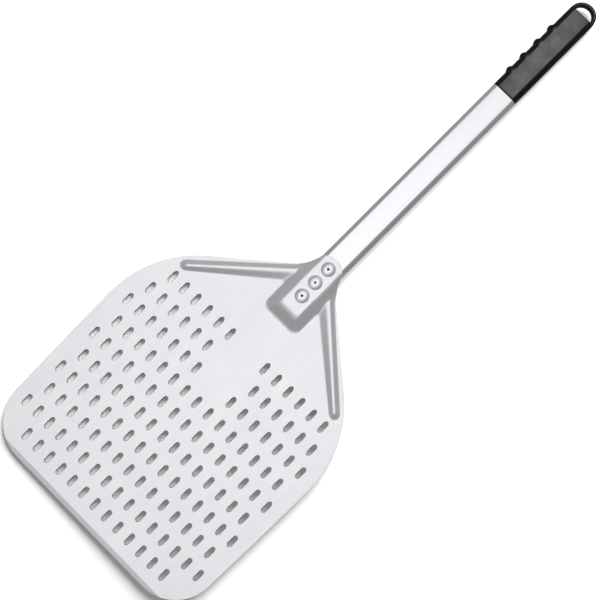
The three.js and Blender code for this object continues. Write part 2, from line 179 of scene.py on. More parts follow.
# Camera, lamps and FLOOR_REACH are in metres.
CAMERA_PLACE = Vector((0.08995, -0.0650, 1.3085))
CAMERA_TARGET = Vector((0.00088, -0.05458, 0.0085))
CAMERA_UP = Vector((-0.70465, 0.7075, 0.054))
CAMERA_LENS = 72.12
CAMERA_SENSOR = 36.0
CAMERA_CLIP = (0.05, 20.0)

FLOOR_REACH = 6.0
FLOOR_POINT = (-15.5, -65.0, -0.5)  # a point of the floor, in millimetres
FLOOR_SLOPE = (-0.027, 0.0)  # its rise along X and along Y

FLOOR_KEY_PLACE, FLOOR_KEY_TARGET = (-0.45, 1.9, 1.5), (0, -0.1, 0)
FLOOR_KEY_SIZE, FLOOR_KEY_LEVEL = 2.6, 18.5
GRIP_STRIP_PLACE, GRIP_STRIP_TARGET = (-0.11, 0.80, 1.58), (0, 0.32, 0)
GRIP_STRIP_WIDTH, GRIP_STRIP_LENGTH, GRIP_STRIP_LEVEL = 0.30, 1.1, 17.0

# Strengths of the room's light by the side it comes from.
GLOW_LEFT, GLOW_RIGHT, GLOW_FRONT, GLOW_REAR, GLOW_ALL = 0.25, 0.17, 0.14, 0.23, 0.13
GLOW_TOP, TOP_NARROWNESS = 0.80, 16.0
WINDOW = 0.88  # a long soft window overhead, by its slopes off the vertical
WINDOW_SLOPE_X, WINDOW_SPREAD_X = -0.07, 0.22
WINDOW_SLOPE_Y, WINDOW_SPREAD_Y = 0.06, 0.65

# ------------------------------------------------------------------ plan curves


def arc(centre, radius, start, end, count):
    """Points of an arc from one angle to another."""
    angles = np.linspace(start, end, count + 1)
    return np.stack([centre[0] + radius * np.cos(angles),
                     centre[1] + radius * np.sin(angles)], 1)


def quadratic(start, pull, end, count):
    """Points of a quadratic curve."""
    t = np.linspace(0, 1, count + 1)[:, None]
    return (1 - t) ** 2 * np.array(start) + 2 * t * (1 - t) * np.array(pull) + t**2 * np.array(end)


def evenly(points, step):
    """A closed line through the points, cut into equal stretches of about step."""
    closed = np.vstack([points, points[:1]])
    lengths = np.hypot(*np.diff(closed, axis=0).T)
    travel = np.concatenate([[0], np.cumsum(lengths)])
    count = round(travel[-1] / step)
    at = np.arange(count) * travel[-1] / count
    return np.stack([np.interp(at, travel, closed[:, i]) for i in (0, 1)], 1)


def blade_outline():
    """The blade's outline, clockwise from the tongue's tip."""
    reach = math.asin(TONGUE_TIP_HALF_WIDTH / TONGUE_TIP_R)
    tip = arc((0, TONGUE_TIP_Y - TONGUE_TIP_R), TONGUE_TIP_R, math.pi / 2, math.pi / 2 - reach, 12)
    corner_y = BLADE_FRONT_Y + FRONT_CORNER_R
    right = np.vstack([
        tip,
        quadratic(tip[-1], TONGUE_CORNER, TONGUE_SIDE, 10)[1:],
        quadratic(TONGUE_SIDE, NECK_PULL, NECK_JOIN, 20)[1:],
        arc((BLADE_HALF_WIDTH - SHOULDER_R, SHOULDER_CENTRE_Y), SHOULDER_R, SHOULDER_ANGLE, 0, 60),
        quadratic((BLADE_HALF_WIDTH, SHOULDER_CENTRE_Y), SIDE_PULL,
                  (FRONT_HALF_WIDTH, corner_y), 40)[1:],
        arc((FRONT_HALF_WIDTH - FRONT_CORNER_R, corner_y), FRONT_CORNER_R, 0, -math.pi / 2, 50)[1:],
    ])
    left = right[:0:-1] * (-1, 1)
    return evenly(np.vstack([right, left]), OUTLINE_STEP)


def slot_centres():
    """Centres of the vent slots, row by row, mirrored about the centre line."""
    centres = []
    for row, (first, last) in enumerate(ROWS):
        y = FIRST_ROW_Y - row * ROW_PITCH_Y
        for column in np.arange(first, last + 0.5):
            centres += [(side * column * SLOT_PITCH_X, y) for side in ((1, -1) if column else (1,))]
    return centres


def slot_outline(x, y, steps=12):
    """One vent slot, clockwise seen from above, as the blade's outline is."""
    r = SLOT_WIDTH / 2
    straight = SLOT_LENGTH / 2 - r
    rear = arc((x, y + straight), r, math.pi, 0, steps)
    front = arc((x, y - straight), r, 0, -math.pi, steps)
    return np.vstack([rear, front])


def hole_outline(x, y, radius, steps=28):
    """A round hole, clockwise like the slots."""
    return arc((x, y), radius, TAU, 0, steps)[:-1]


# ----------------------------------------------------------------- pressed form


def level(share, blends):
    """Height that is left at a share of a pressed wall's width: two blends and a slope."""
    top, foot = blends
    s = np.clip(share, 0, 1)
    steepest = 1 / (1 - (top + foot) / 2)
    near_top = 1 - steepest * s**2 / (2 * top)
    near_foot = steepest * (1 - s) ** 2 / (2 * foot)
    slope = 1 - steepest * (s - top / 2)
    return np.where(s < top, near_top, np.where(s > 1 - foot, near_foot, slope))


def boss_share(x, y):
    """0 round the edge of the boss's top, less inside it, 1 at its foot, more outside."""
    # Found by halving the span between two shares.
    low, high = np.full_like(x, LEAST_SHARE), np.full_like(x, MOST_SHARE)
    for _ in range(HALVINGS):
        s = (low + high) / 2
        half, front, r = (top + (foot - top) * s for top, foot in zip(BOSS_TOP, BOSS_FOOT))
        out_x = np.abs(x) - (half - r)
        out_y = (front + r) - y
        corner = np.hypot(np.maximum(out_x, 0), np.maximum(out_y, 0))
        inside = np.where((out_x > 0) | (out_y > 0), corner < r, True)
        high = np.where(inside, s, high)
        low = np.where(inside, low, s)
    return high


def bead_share(x, y):
    """0 on a bead's crest, 1 at its foot, more outside; and the width of its wall there."""
    start, end = np.array(BEAD_START), np.array(BEAD_END)
    length = np.hypot(*(end - start))
    along = (end - start) / length
    from_x, from_y = np.abs(x) - start[0], y - start[1]
    travel = from_x * along[0] + from_y * along[1]
    outward = -from_x * along[1] + from_y * along[0] - BEAD_CREST_SHIFT
    grow = np.clip(travel / length, 0, 1)
    inner = BEAD_INNER_NEAR + (BEAD_INNER_FAR - BEAD_INNER_NEAR) * grow
    width = np.where(outward > 0, BEAD_OUTER, inner) - BEAD_CREST_R
    side = np.maximum(np.abs(outward) - BEAD_CREST_R, 0) / width
    past = np.maximum(np.maximum(travel - length, -travel), 0) / BEAD_END_R
    return np.hypot(side, past), width


def relief(x, y):
    """Height of the pressed form above the flat sheet."""
    boss = boss_share(x, y)
    bead, bead_width = bead_share(x, y)
    boss_width = BOSS_FOOT[0] - BOSS_TOP[0]
    near_boss = np.clip(CORNER_FILL - (boss - 1) * boss_width, 0, CORNER_FILL)
    near_bead = np.clip(CORNER_FILL - (bead - 1) * bead_width, 0, CORNER_FILL)
    fill = np.hypot(near_boss, near_bead) - np.maximum(near_boss, near_bead)
    boss = boss - fill / boss_width * np.clip(boss, 0, 1)
    bead = bead - fill / bead_width * np.clip(bead, 0, 1)
    a, b = BOSS_HEIGHT * level(boss, BOSS_BLENDS), BEAD_HEIGHT * level(bead, BEAD_BLENDS)
    soft = np.minimum(CREASE_FILL, 2 * np.minimum(a, b)) + 1e-6
    return np.maximum(a, b) + np.maximum(soft - np.abs(a - b), 0) ** 2 / (4 * soft)


def relief_normals(x, y):
    """Unit normals of the pressed form."""
    step = 0.05
    slope_x = (relief(x + step, y) - relief(x - step, y)) / (2 * step)
    slope_y = (relief(x, y + step) - relief(x, y - step)) / (2 * step)
    normals = np.stack([-slope_x, -slope_y, np.ones_like(x)], 1)
    return normals / np.linalg.norm(normals, axis=1)[:, None]


# ------------------------------------------------------------------ blade mesh


def outward_of(loop):
    """Outward directions, in plan, of a loop that runs clockwise."""
    tangent = np.roll(loop, -1, axis=0) - np.roll(loop, 1, axis=0)
    tangent /= np.hypot(*tangent.T)[:, None]
    return np.stack([-tangent[:, 1], tangent[:, 0]], 1)


def in_polygon(points, polygon):
    """True where a point is inside a polygon, by counting its crossings."""
    inside = np.zeros(len(points), bool)
    x, y = points.T
    for (ax, ay), (bx, by) in zip(polygon, np.roll(polygon, -1, axis=0)):
        if ay == by:
            continue
        crossing = ((ay > y) != (by > y)) & (x < (bx - ax) * (y - ay) / (by - ay) + ax)
        inside ^= crossing
    return inside


def in_any_hole(points, centres):
    """True where a point is inside a slot or a rivet hole."""
    inside = np.zeros(len(points), bool)
    straight = SLOT_LENGTH / 2 - SLOT_WIDTH / 2
    for x, y in centres:
        away = np.maximum(np.abs(points[:, 1] - y) - straight, 0)
        inside |= np.hypot(points[:, 0] - x, away) < SLOT_WIDTH / 2
    for y in RIVET_Y:
        inside |= np.hypot(points[:, 0], points[:, 1] - y) < RIVET_HOLE_R
    return inside


def relief_grid(loops):
    """Points on the boss and the beads, clear of every edge."""
    xs = np.arange(-RELIEF_HALF_WIDTH, RELIEF_HALF_WIDTH + RELIEF_STEP, RELIEF_STEP)
    ys = np.arange(RELIEF_FRONT_Y, RELIEF_REAR_Y, RELIEF_STEP)
    grid_x, grid_y = (g.ravel() for g in np.meshgrid(xs, ys))
    grid_x = grid_x + np.where(np.round(grid_y / RELIEF_STEP) % 2 == 0, 0, RELIEF_STEP / 2)
    near = np.zeros(len(grid_x), bool)
    for dx, dy in ((0, 0), (1, 0), (-1, 0), (0, 1), (0, -1)):
        raised = relief(grid_x + dx * RELIEF_MARGIN, grid_y + dy * RELIEF_MARGIN)
        near |= raised > 1e-4
    points = np.stack([grid_x, grid_y], 1)[near]
    points = points[in_polygon(points, loops[0])]
    edges = np.vstack([loop for loop in loops if loop[:, 1].max() > ys[0]])
    clear = np.ones(len(points), bool)
    for edge in edges:
        clear &= np.abs(points - edge).max(axis=1) > 0.9 * RELIEF_STEP
    return points[clear]


def lip_rows(loops):
    """Two close rows of points where the flat sheet turns down into its front lip."""
    line = BLADE_FRONT_Y + LIP_WIDTH
    xs = np.arange(-FRONT_HALF_WIDTH, FRONT_HALF_WIDTH, LIP_STEP)
    rows = [np.stack([xs, np.full(len(xs), y)], 1) for y in (line + LIP_BEND / 2, line - LIP_BEND / 2)]
    points = np.vstack(rows)
    points = points[in_polygon(points, loops[0])]
    away = np.abs(points[:, None] - loops[0][None]).max(axis=2).min(axis=1)
    return points[away > 0.6]


def blade_mesh():
    """Points, faces, normals and the edge mask of the blade's sheet, for rubbed edges and a painted
    edge highlight.
    """
    centres = slot_centres()
    loops = [blade_outline()]
    loops += [slot_outline(x, y) for x, y in centres]
    loops += [hole_outline(0, y, RIVET_HOLE_R) for y in RIVET_Y]
    outward = [outward_of(loop) for loop in loops]
    # Slots and holes are drawn clockwise too, so the way out of the metal is into them.
    outward = [outward[0]] + [-o for o in outward[1:]]
    inset = [loop - EDGE_R * out for loop, out in zip(loops, outward)]
    plan = np.vstack(inset + [relief_grid(inset), lip_rows(inset)])
    starts = np.cumsum([0] + [len(loop) for loop in inset])
    edges = [(a + i, a + (i + 1) % (b - a)) for a, b in zip(starts[:-1], starts[1:])
             for i in range(b - a)]
    made = delaunay_2d_cdt([Vector(p) for p in plan], edges, [], 0, 1e-5)
    out_points, _, faces, origin = made[0], made[1], made[2], made[3]
    index = [ids[0] if ids else -1 for ids in origin]
    if -1 in index or len(out_points) != len(plan):
        raise RuntimeError("the blade's plan has crossing lines")
    faces = np.array([[index[i] for i in face] for face in faces])
    middle = plan[faces].mean(axis=1)
    metal = in_polygon(middle, inset[0]) & ~in_any_hole(middle, centres)
    faces = faces[metal]
    a, b, c = plan[faces].transpose(1, 0, 2)
    area = (b[:, 0] - a[:, 0]) * (c[:, 1] - a[:, 1]) - (b[:, 1] - a[:, 1]) * (c[:, 0] - a[:, 0])
    faces[area < 0] = faces[area < 0][:, ::-1]

    x, y = plan.T
    normals = relief_normals(x, y)
    height = BLADE_TOP_Z + relief(x, y)
    middle_surface = np.stack([x, y, height], 1)
    in_lip = np.clip((BLADE_FRONT_Y + LIP_WIDTH - y) / LIP_WIDTH, 0, 1)
    top = middle_surface - np.stack([0 * x, 0 * x, LIP_DROP * in_lip], 1)
    top_normals = normals.copy()
    lip_normal = np.array([0, -LIP_DROP, LIP_WIDTH]) / math.hypot(LIP_DROP, LIP_WIDTH)
    top_normals[in_lip > 0] = lip_normal
    under = middle_surface - SHEET * normals

    count = len(plan)
    points = [top, under]
    point_normals = [top_normals, -normals]
    # Marks the edge rings, which the material paints lighter: partly rubbed wear, partly a painted edge
    # highlight.
    worn_and_lit_edges = [np.zeros(count), np.zeros(count)]
    all_faces = [tuple(f) for f in faces]
    all_faces += [tuple(f[::-1] + count) for f in faces]
    base = 2 * count
    # Rings round every edge, from the top's fillet down to the underside's.
    angles = np.linspace(math.pi / 2, 0, EDGE_STEPS + 1)[1:]
    for loop_start, out in zip(starts[:-1], outward):
        size = len(out)
        here = np.arange(loop_start, loop_start + size)
        rings = []
        for side, surface, facing in ((1, top, top_normals), (-1, under, -normals)):
            flat = np.hstack([out, np.zeros((size, 1))])
            face_n = facing[here]
            out3 = flat - face_n * (flat * face_n).sum(1)[:, None]
            out3 /= np.linalg.norm(out3, axis=1)[:, None]
            fillet = []
            for angle in angles:
                drop = EDGE_R * (1 - math.sin(angle))
                reach = EDGE_R * math.cos(angle)
                normal = out3 * math.cos(angle) + face_n * math.sin(angle)
                fillet.append((surface[here] + reach * out3 - drop * face_n, normal))
            rings += fillet if side > 0 else fillet[::-1]
        ids = [here]
        for ring, normal in rings:
            points.append(ring)
            point_normals.append(normal)
            worn_and_lit_edges.append(np.ones(size))
            ids.append(np.arange(base, base + size))
            base += size
        ids.append(here + count)
        for upper, lower in zip(ids[:-1], ids[1:]):
            for i in range(size):
                j = (i + 1) % size
                all_faces.append((upper[i], upper[j], lower[j], lower[i]))
    return np.vstack(points), all_faces, np.vstack(point_normals), np.concatenate(worn_and_lit_edges)


def make_piece(name, points, faces, normals=None):
    """A mesh object from points in millimetres."""
    mesh = bpy.data.meshes.new(name)
    mesh.from_pydata((np.asarray(points) * MM).tolist(), [], [tuple(map(int, f)) for f in faces])
    mesh.update()
    mesh.polygons.foreach_set("use_smooth", np.ones(len(mesh.polygons), bool))
    piece = bpy.data.objects.new(name, mesh)
    bpy.context.scene.collection.objects.link(piece)
    if normals is not None:
        mesh.normals_split_custom_set_from_vertices([tuple(n) for n in normals])
    return piece


def face_outwards(piece):
    """Turns a closed mesh's faces to the outside."""
    work = bmesh.new()
    work.from_mesh(piece.data)
    bmesh.ops.recalc_face_normals(work, faces=work.faces)
    work.to_mesh(piece.data)
    work.free()


def smooth_by_angle(piece, degrees):
    piece.data.polygons.foreach_set("use_smooth", np.ones(len(piece.data.polygons), bool))
    piece.data.set_sharp_from_angle(angle=math.radians(degrees))


def joined(piece, others, operation):
    """Joins closed meshes to a piece, or cuts them out of it, and deletes them."""
    for other in others:
        step = piece.modifiers.new("step", "BOOLEAN")
        step.operation = operation
        step.solver = "EXACT"
        step.object = other
        graph = bpy.context.evaluated_depsgraph_get()
        result = bpy.data.meshes.new_from_object(piece.evaluated_get(graph))
        piece.modifiers.clear()
        piece.data = result
        bpy.data.objects.remove(other)
    return piece


def make_blade():
    points, faces, normals, worn_and_lit_edges = blade_mesh()
    blade = make_piece("blade_sheet", points, faces, normals)
    # Mask of the broken edges that the material paints lighter, as wear and as a painted highlight.
    attribute = blade.data.attributes.new("edge_wear_and_highlight", "FLOAT", "POINT")
    attribute.data.foreach_set("value", worn_and_lit_edges.astype(np.float32))
    return blade


# -------------------------------------------------------------- lofts and lathes


def section(width, height, radius, steps=10):
    """A rounded rectangle in X and Z round the grip's middle, counter-clockwise."""
    points = []
    for quarter in range(4):
        start = quarter * math.pi / 2
        sign_x, sign_z = ((1, 1), (-1, 1), (-1, -1), (1, -1))[quarter]
        centre = (sign_x * (width / 2 - radius), GRIP_MID_Z + sign_z * (height / 2 - radius))
        points.append(arc(centre, radius, start, start + math.pi / 2, steps))
    return np.vstack(points)


def ring_at(outline, y):
    return np.stack([outline[:, 0], np.full(len(outline), y), outline[:, 1]], 1)


def loft(name, rings, closed=False):
    """Rings of equal length joined in order, capped at both ends or closed on itself."""
    count = len(rings[0])
    faces = []
    pairs = list(zip(range(len(rings) - 1), range(1, len(rings))))
    if closed:
        pairs.append((len(rings) - 1, 0))
    for a, b in pairs:
        for i in range(count):
            j = (i + 1) % count
            faces.append((a * count + i, a * count + j, b * count + j, b * count + i))
    if not closed:
        faces.append(tuple(range(count)))
        faces.append(tuple(range((len(rings) - 1) * count, len(rings) * count))[::-1])
    piece = make_piece(name, np.vstack(rings), faces)
    face_outwards(piece)
    return piece


def turned(name, profile, x, y, steps=56):
    """A body of revolution about a vertical axis, from (radius, z) points."""
    rings = []
    for step in range(steps):
        angle = TAU * step / steps
        rings.append([(x + r * math.cos(angle), y + r * math.sin(angle), z) for r, z in profile])
    piece = loft(name, [np.array(ring) for ring in rings], closed=True)
    work = bmesh.new()
    work.from_mesh(piece.data)
    bmesh.ops.remove_doubles(work, verts=work.verts, dist=1e-7)
    bmesh.ops.recalc_face_normals(work, faces=work.faces)
    work.to_mesh(piece.data)
    work.free()
    return piece


# -------------------------------------------------------------------- the tube


def make_tube():
    low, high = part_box("handle_tube")
    front, rear = low.y / MM, high.y / MM
    edge = TUBE_EDGE
    rings = []
    wall = TUBE_WALL
    for y, cut in ((front, edge), (front + edge, 0), (rear - edge, 0), (rear, edge),
                   (rear, wall - edge), (rear - edge, wall), (front + edge, wall),
                   (front, wall - edge)):
        outline = section(TUBE_WIDTH - 2 * cut, TUBE_HEIGHT - 2 * cut, TUBE_CORNER_R - cut)
        rings.append(ring_at(outline, y))
    tube = loft("tube_profile", rings, closed=True)
    bit = [(0, GRIP_MID_Z), (RIVET_HOLE_R, GRIP_MID_Z), (RIVET_HOLE_R, DRILL_TOP_Z), (0, DRILL_TOP_Z)]
    drills = [turned("drill", bit, 0, y, 28) for y in RIVET_Y if y > front + RIVET_HOLE_R]
    joined(tube, drills, "DIFFERENCE")
    smooth_by_angle(tube, 35)
    return tube


# -------------------------------------------------------------------- the grip


def grip_ring(y, cut):
    """The grip's section at y, drawn in by cut, with the finger ridges on its -X side."""
    outline = section(GRIP_WIDTH, GRIP_HEIGHT, GRIP_CORNER_R, 12)
    flat_x, flat_z = GRIP_WIDTH / 2 - GRIP_CORNER_R, GRIP_HEIGHT / 2 - GRIP_CORNER_R
    x, z = outline[:, 0], outline[:, 1] - GRIP_MID_Z
    out_x = np.sign(x) * np.maximum(np.abs(x) - flat_x, 0)
    out_z = np.sign(z) * np.maximum(np.abs(z) - flat_z, 0)
    size = np.maximum(np.hypot(out_x, out_z), 1e-9)
    out_x, out_z = out_x / size, out_z / size
    rise = 0.0
    for i in range(RIDGE_COUNT):
        share = (y - RIDGE_Y - i * RIDGE_PITCH) / RIDGE_HALF_LENGTH
        if abs(share) < 1:
            rise = RIDGE_RISE * math.cos(share * math.pi / 2) ** RIDGE_FULLNESS
    swell = rise * np.maximum(-out_x, 0) ** 2
    return ring_at(np.stack([x + (swell - cut) * out_x, z + GRIP_MID_Z + (swell - cut) * out_z], 1), y)


def grip_body():
    stations = []
    for step in range(GRIP_END_STEPS + 1):
        angle = step / GRIP_END_STEPS * math.pi / 2
        stations.append((GRIP_FRONT_Y + GRIP_END_ROUND * (1 - math.sin(angle)),
                         GRIP_END_ROUND * (1 - math.cos(angle))))
    stations = stations[::-1]
    stations += [(GRIP_REAR_Y + GRIP_FRONT_Y - y, cut) for y, cut in stations[::-1]]
    ys = {y: cut for y, cut in stations}
    for i in range(RIDGE_COUNT):
        for step in range(-RIDGE_STEPS, RIDGE_STEPS + 1):
            angle = step / RIDGE_STEPS * math.pi / 2
            ys[RIDGE_Y + i * RIDGE_PITCH + RIDGE_HALF_LENGTH * math.sin(angle)] = 0.0
    return loft("grip_body", [grip_ring(y, ys[y]) for y in sorted(ys)])


def grip_spigot():
    """The hollow stub that the grip pushes into the tube, bevelled at its front."""
    inset = TUBE_WALL + GAP
    slim, outer, inner = (
        section(TUBE_WIDTH - 2 * depth, TUBE_HEIGHT - 2 * depth, TUBE_CORNER_R - depth)
        for depth in (inset + SPIGOT_BEVEL, inset, inset + SPIGOT_WALL))
    front, rear = GRIP_FRONT_Y - SPIGOT_LENGTH, GRIP_FRONT_Y + 2 * GRIP_END_ROUND
    rings = [ring_at(slim, front), ring_at(outer, front + SPIGOT_BEVEL), ring_at(outer, rear),
             ring_at(inner, rear), ring_at(inner, front)]
    return loft("grip_spigot", rings, closed=True)


def grip_loop():
    """The hanging loop: a half ring on two straight legs that end inside the grip."""
    edge, steps = LOOP_EDGE_R, 36
    bar = []
    for quarter in range(4):
        start = quarter * math.pi / 2
        sign_r, sign_z = ((1, 1), (-1, 1), (-1, -1), (1, -1))[quarter]
        centre = (sign_r * (LOOP_BAR / 2 - edge), sign_z * (LOOP_THICKNESS / 2 - edge))
        bar.append(arc(centre, edge, start, start + math.pi / 2, 7))
    bar = np.vstack(bar)
    rings = []
    turns = [math.pi * step / steps for step in range(steps + 1)]
    for angle, leg in [(0, LOOP_LEG)] + [(turn, 0) for turn in turns] + [(math.pi, LOOP_LEG)]:
        radius = LOOP_R + bar[:, 0]
        rings.append(np.stack([radius * math.cos(angle), LOOP_CENTRE_Y + radius * math.sin(angle) - leg,
                               GRIP_MID_Z + bar[:, 1]], 1))
    return loft("grip_loop", rings)


def make_grip():
    grip = joined(grip_body(), [grip_loop(), grip_spigot()], "UNION")
    grip.name = "grip_moulding"
    smooth_by_angle(grip, 32)
    return grip


# ------------------------------------------------------------------ the rivets


def make_rivet(number, y):
    """A set blind rivet: bulb below the tube's top wall, shank, and the domed flange.

    The small numbers added to a size are the roundings of that corner.
    """
    top = FLANGE_Z + RIVET_DOME
    profile = [
        (RIVET_BORE_R, BULB_END_Z), (RIVET_BORE_R + 1.1, BULB_END_Z),
        (RIVET_BULB_R - 0.5, BULB_END_Z + 0.5), (RIVET_BULB_R, BULB_END_Z + 1.4),
        (RIVET_BULB_R, BULB_TOP_Z - 0.9), (RIVET_BULB_R - 0.2, BULB_TOP_Z - 0.3),
        (RIVET_BULB_R - 0.7, BULB_TOP_Z), (RIVET_SHANK_R, BULB_TOP_Z),
        (RIVET_SHANK_R, FLANGE_Z), (RIVET_FLANGE_R - 0.25, FLANGE_Z),
        (RIVET_FLANGE_R - 0.05, FLANGE_Z + 0.12), (RIVET_FLANGE_R, FLANGE_Z + 0.32),
        (RIVET_FLANGE_R - 0.06, FLANGE_Z + 0.52),
    ]
    # The dome is a shallow cap, steeper towards its foot; its bore has a rolled rim.
    rim_r, foot_r, foot_z = 2.1, RIVET_FLANGE_R - 0.2, FLANGE_Z + 0.68
    for r in np.linspace(foot_r, rim_r, 14):
        profile.append((r, top - (top - foot_z) * (r / foot_r) ** RIVET_DOME_POWER))
    rim_z = profile[-1][1]
    profile += [(RIVET_LIP_R + 0.3, rim_z - 0.02), (RIVET_LIP_R + 0.1, rim_z - 0.1),
                (RIVET_LIP_R, rim_z - 0.26), (RIVET_LIP_R, rim_z - 0.5), (RIVET_BORE_R, rim_z - 0.8)]
    rivet = turned(f"rivet_body_{number}", profile, 0, y)
    smooth_by_angle(rivet, 40)
    return rivet


def make_mandrel(number, y, sunk, chance):
    """What is left of the pulling mandrel: its head below the bulb and a torn stub."""
    head_top = BULB_END_Z - GAP
    head_end = head_top - MANDREL_HEAD_LENGTH
    stub_top = FLANGE_Z + RIVET_DOME - sunk
    profile = [
        (0, head_end), (MANDREL_HEAD_R - 0.6, head_end), (MANDREL_HEAD_R, head_end + 0.6),
        (MANDREL_HEAD_R, head_top - 0.1), (MANDREL_HEAD_R - 0.1, head_top), (MANDREL_R, head_top),
        (MANDREL_R, stub_top - 0.8), (MANDREL_R - 0.12, stub_top - 0.35),
        (MANDREL_R - 0.3, stub_top - 0.12), (0.7, stub_top - 0.12), (0.35, stub_top - 0.12),
        (0, stub_top - 0.12),
    ]
    stub = turned(f"mandrel_stub_{number}", profile, 0, y, 24)
    for vertex in stub.data.vertices:
        if vertex.co.z > (stub_top - 0.2) * MM:
            vertex.co.z += chance.uniform(-0.1, 0.1) * MM
    smooth_by_angle(stub, 30)
    return stub


# ------------------------------------------------------------------- materials


class Nodes:
    """Short-hand for building one material's node tree."""

    def __init__(self, name):
        self.material = bpy.data.materials.new(name)
        self.material.use_nodes = True
        self.tree = self.material.node_tree
        self.shader = self.tree.nodes["Principled BSDF"]
        self.place = self.add("ShaderNodeTexCoord").outputs["Object"]

    def add(self, kind, **settings):
        node = self.tree.nodes.new(kind)
        for key, value in settings.items():
            setattr(node, key, value)
        return node

    def link(self, source, target):
        self.tree.links.new(source, target)

    def noise(self, per_mm, detail=3.0, roughness=0.55):
        """Noise whose cells are so many per millimetre along X, Y and Z."""
        mapping = self.add("ShaderNodeMapping")
        mapping.inputs["Scale"].default_value = [value / MM for value in per_mm]
        noise = self.add("ShaderNodeTexNoise")
        noise.inputs["Scale"].default_value = 1.0
        noise.inputs["Detail"].default_value = detail
        noise.inputs["Roughness"].default_value = roughness
        self.link(self.place, mapping.inputs["Vector"])
        self.link(mapping.outputs["Vector"], noise.inputs["Vector"])
        return noise.outputs["Fac"]

    def spread(self, value, low, high, span=(0.3, 0.7)):
        """A value brought from a span of the noise to low..high."""
        node = self.add("ShaderNodeMapRange")
        node.inputs["From Min"].default_value = span[0]
        node.inputs["From Max"].default_value = span[1]
        node.inputs["To Min"].default_value = low
        node.inputs["To Max"].default_value = high
        self.link(value, node.inputs["Value"])
        return node.outputs["Result"]

    def math(self, operation, a, b):
        node = self.add("ShaderNodeMath", operation=operation)
        for socket, value in zip(node.inputs, (a, b)):
            if isinstance(value, (int, float)):
                socket.default_value = value
            else:
                self.link(value, socket)
        return node.outputs["Value"]

    def blend(self, factor, dark, light):
        """A colour between two, by a factor socket."""
        node = self.add("ShaderNodeMix", data_type="RGBA")
        self.link(factor, node.inputs["Factor"])
        for socket, colour in ((node.inputs["A"], dark), (node.inputs["B"], light)):
            if isinstance(colour, tuple):
                socket.default_value = (*colour, 1.0)
            else:
                self.link(colour, socket)
        return node.outputs["Result"]

    def bumps(self, *layers):
        """Bump layers (height socket, depth in millimetres), fine ones last."""
        normal = None
        for height, depth in layers:
            bump = self.add("ShaderNodeBump")
            bump.inputs["Strength"].default_value = 1.0
            bump.inputs["Distance"].default_value = depth * MM
            self.link(height, bump.inputs["Height"])
            if normal:
                self.link(normal, bump.inputs["Normal"])
            normal = bump.outputs["Normal"]
        self.link(normal, self.shader.inputs["Normal"])


def blade_material():
    """Bead-blasted and anodised sheet: an even satin skin, lighter and smoother on every broken edge,
    partly as polished wear and partly as a painted edge highlight.
    """
    n = Nodes("blade_satin")
    cloud = n.noise((0.02, 0.02, 0.02), 2)
    grain = n.noise((1.6, 1.6, 1.6), 4, 0.6)
    rolling = n.noise((0.9, 0.012, 0.9), 3)
    edge = n.add("ShaderNodeAttribute", attribute_name="edge_wear_and_highlight").outputs["Fac"]
    skin = n.blend(n.spread(cloud, 0, 1), (0.86, 0.87, 0.895), (0.90, 0.91, 0.93))
    skin = n.blend(n.spread(grain, 0, 0.3), skin, (0.82, 0.83, 0.855))
    # Every broken edge is painted lighter and made smoother: partly polished wear, partly a painted
    # edge highlight.
    n.link(n.blend(edge, skin, (0.93, 0.935, 0.95)), n.shader.inputs["Base Color"])
    n.shader.inputs["Metallic"].default_value = 1.0
    rough = n.math("ADD", n.spread(grain, 0.40, 0.48), n.spread(rolling, -0.02, 0.02))
    n.link(n.math("SUBTRACT", rough, n.math("MULTIPLY", edge, 0.12)), n.shader.inputs["Roughness"])
    n.bumps((rolling, 0.004), (grain, 0.012))
    return n.material


def tube_material():
    """Extruded tube: fine die lines along its length under a satin anodised skin."""
    n = Nodes("tube_extruded")
    lines = n.noise((3.0, 0.004, 3.0), 4, 0.65)
    broad = n.noise((0.35, 0.0015, 0.35), 2)
    cloud = n.noise((0.015, 0.008, 0.015), 2)
    grain = n.noise((2.5, 2.5, 2.5), 2)
    skin = n.blend(n.spread(lines, 0, 1), (0.71, 0.715, 0.735), (0.77, 0.773, 0.79))
    skin = n.blend(n.spread(cloud, 0, 0.3), skin, (0.70, 0.705, 0.73))
    n.link(skin, n.shader.inputs["Base Color"])
    n.shader.inputs["Metallic"].default_value = 1.0
    rough = n.math("ADD", n.spread(lines, 0.26, 0.34), n.spread(grain, -0.02, 0.02))
    n.link(rough, n.shader.inputs["Roughness"])
    n.bumps((broad, 0.01), (lines, 0.006), (grain, 0.003))
    return n.material


def rivet_material():
    """Bright formed aluminium, faintly clouded and with a fine grain."""
    n = Nodes("rivet_bright")
    cloud = n.noise((0.3, 0.3, 0.3), 3)
    grain = n.noise((3.0, 3.0, 3.0), 3)
    n.link(n.blend(n.spread(cloud, 0, 1), (0.78, 0.79, 0.81), (0.88, 0.885, 0.9)),
           n.shader.inputs["Base Color"])
    n.shader.inputs["Metallic"].default_value = 1.0
    n.link(n.spread(grain, 0.28, 0.38), n.shader.inputs["Roughness"])
    n.bumps((cloud, 0.05), (grain, 0.008))
    return n.material


def mandrel_material():
    """Steel stub, dull and torn where the mandrel broke."""
    n = Nodes("mandrel_steel")
    tear = n.noise((2.2, 2.2, 2.2), 5, 0.7)
    n.link(n.blend(n.spread(tear, 0, 1), (0.42, 0.425, 0.435), (0.64, 0.645, 0.655)),
           n.shader.inputs["Base Color"])
    n.shader.inputs["Metallic"].default_value = 1.0
    n.link(n.spread(tear, 0.5, 0.7), n.shader.inputs["Roughness"])
    n.bumps((tear, 0.15))
    return n.material


